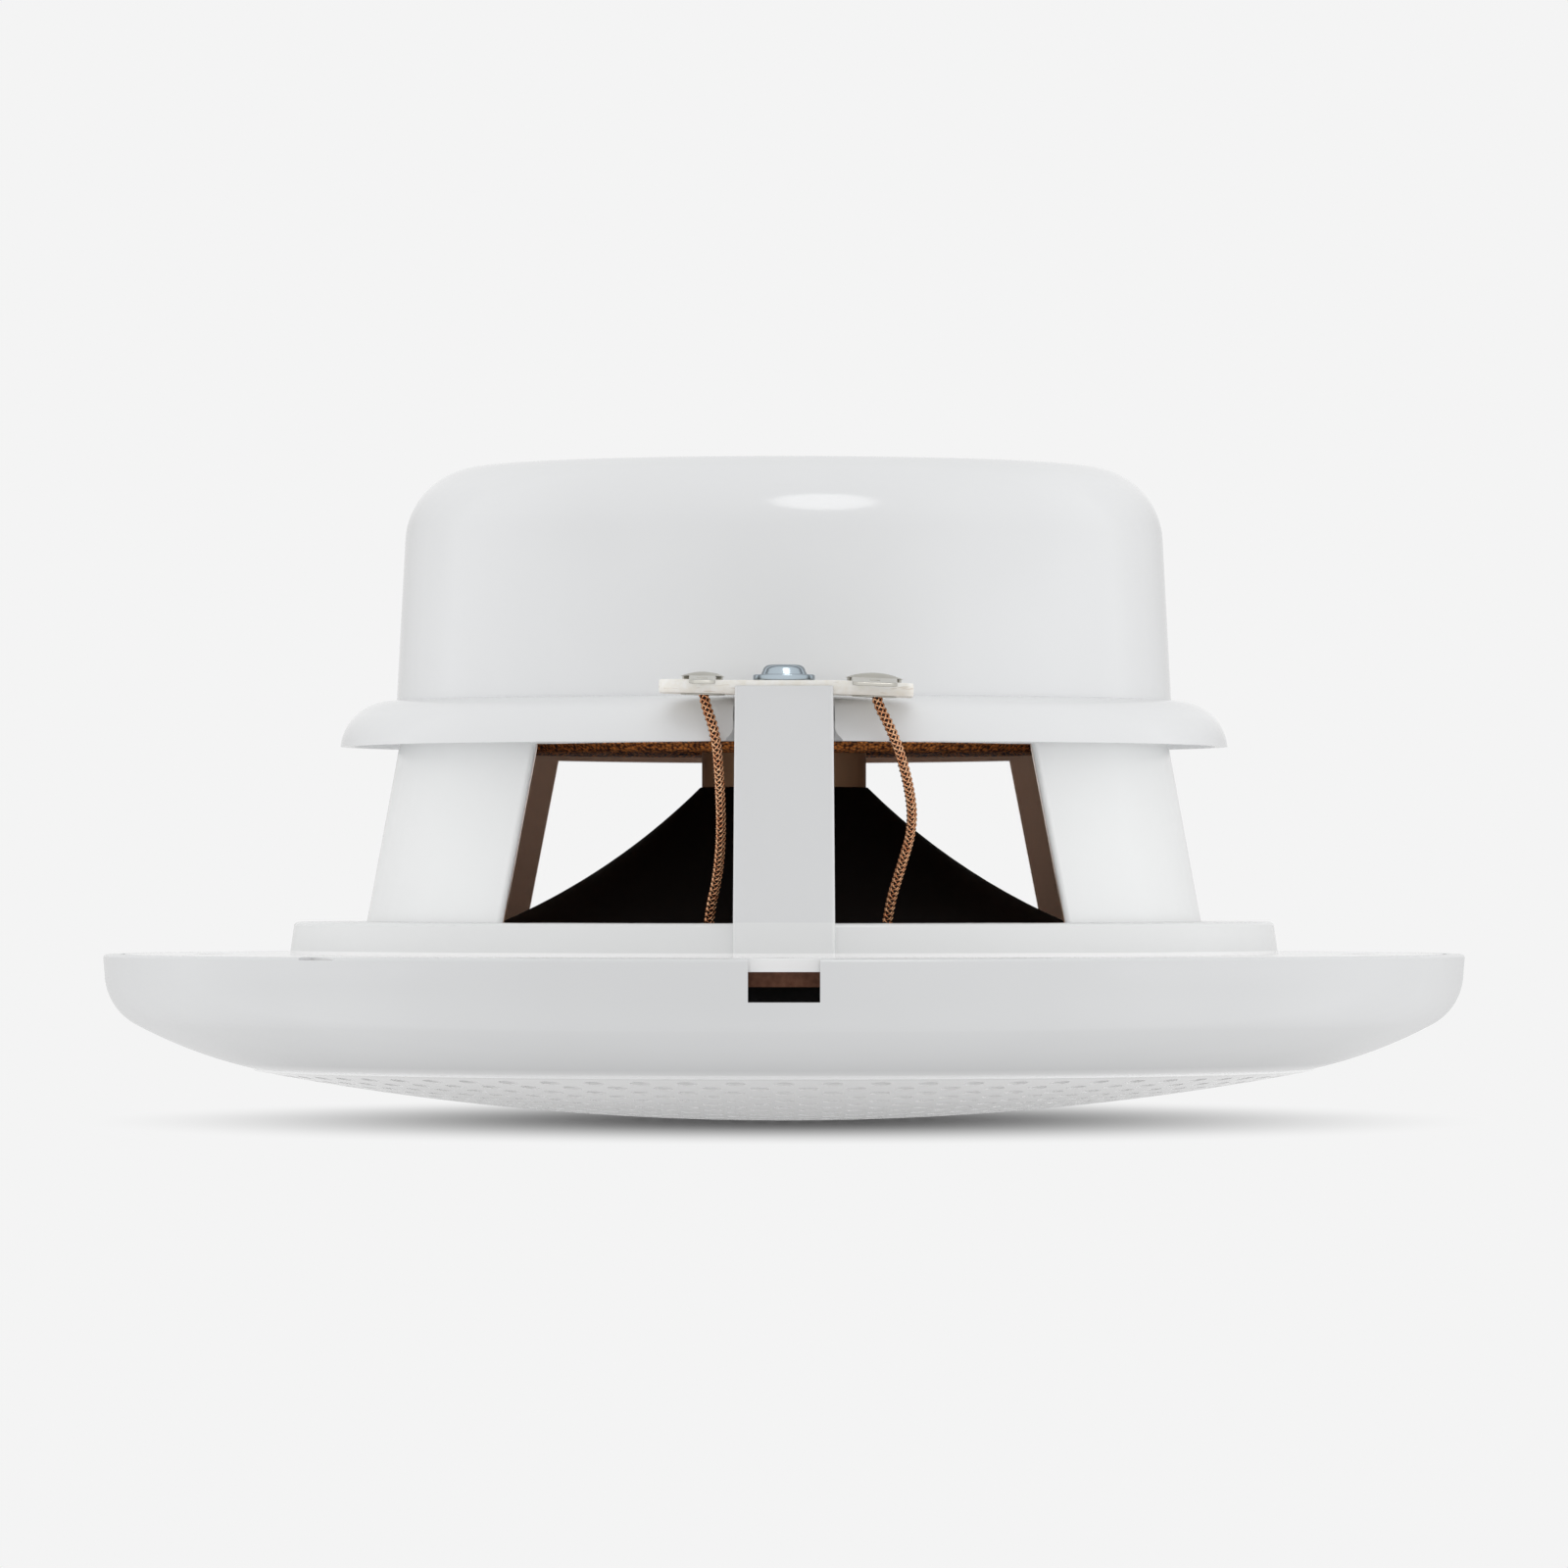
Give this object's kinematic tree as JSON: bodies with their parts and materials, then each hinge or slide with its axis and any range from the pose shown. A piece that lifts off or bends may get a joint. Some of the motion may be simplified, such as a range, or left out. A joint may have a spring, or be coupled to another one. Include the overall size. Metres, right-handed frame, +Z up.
{
  "type": "in-ceiling loudspeaker",
  "caption": "Round flush-mount ceiling loudspeaker with a domed perforated grille, open moulded basket, covered magnet and a terminal tower with tinsel leads to its cone.",
  "frame": {"origin": "centre of the ceiling plane, which the rear edge of the grille and the rear face of the basket flange touch", "axes": "+Z up into the ceiling along the speaker's axis; -Y towards the terminal tower; +X to the right of the tower seen from the front"},
  "size_m": [0.152, 0.1519, 0.0728],
  "materials": {
    "white_plastic": "white moulded plastic with a soft sheen",
    "plated_steel": "zinc plated steel plate",
    "ferrite": null,
    "zinc_steel": "blue-white zinc plated screw",
    "former_paper": "grey-brown coil former",
    "copper_wire": "enamelled copper winding",
    "tinsel_copper": "braided copper tinsel lead",
    "black_cone": "matt black cone",
    "spider_cloth": "brown woven cloth, resin stiffened",
    "black_rubber": "matt black rubber",
    "gasket_board": "brown fibre gasket",
    "fibre_board": "cream fibre board with brown cut edges",
    "tinned_brass": "tin plated brass",
    "solder": "bright solder"
  },
  "bodies": {
    "housing": {"front_grille": "white_plastic", "basket": "white_plastic", "magnet_cover": "white_plastic", "top_plate": "plated_steel", "yoke": "plated_steel", "magnet": "ferrite", "motor_screw_1": "zinc_steel", "motor_screw_2": "zinc_steel", "motor_screw_3": "zinc_steel", "motor_screw_4": "zinc_steel", "terminal_screw": "zinc_steel", "negative_lead": "tinsel_copper", "positive_lead": "tinsel_copper", "spider": "spider_cloth", "surround": "black_rubber", "gasket_ring": "gasket_board", "terminal_board": "fibre_board", "negative_tab": "tinned_brass", "positive_tab": "tinned_brass", "negative_eyelet": "tinned_brass", "positive_eyelet": "tinned_brass", "negative_solder": "solder", "positive_solder": "solder"},
    "moving_cone": {"cone": "black_cone", "dust_cap": "black_cone", "voice_coil_former": "former_paper", "voice_coil": "copper_wire"}
  },
  "joints": [
    {"name": "cone_excursion", "type": "slide", "parent": "housing", "child": "moving_cone", "axis": [0, 0, 1], "range_m": [-0.002, 0.002], "stiffness_N_per_m": 1000, "deforming": ["spider", "surround", "negative_lead", "positive_lead"]}
  ]
}
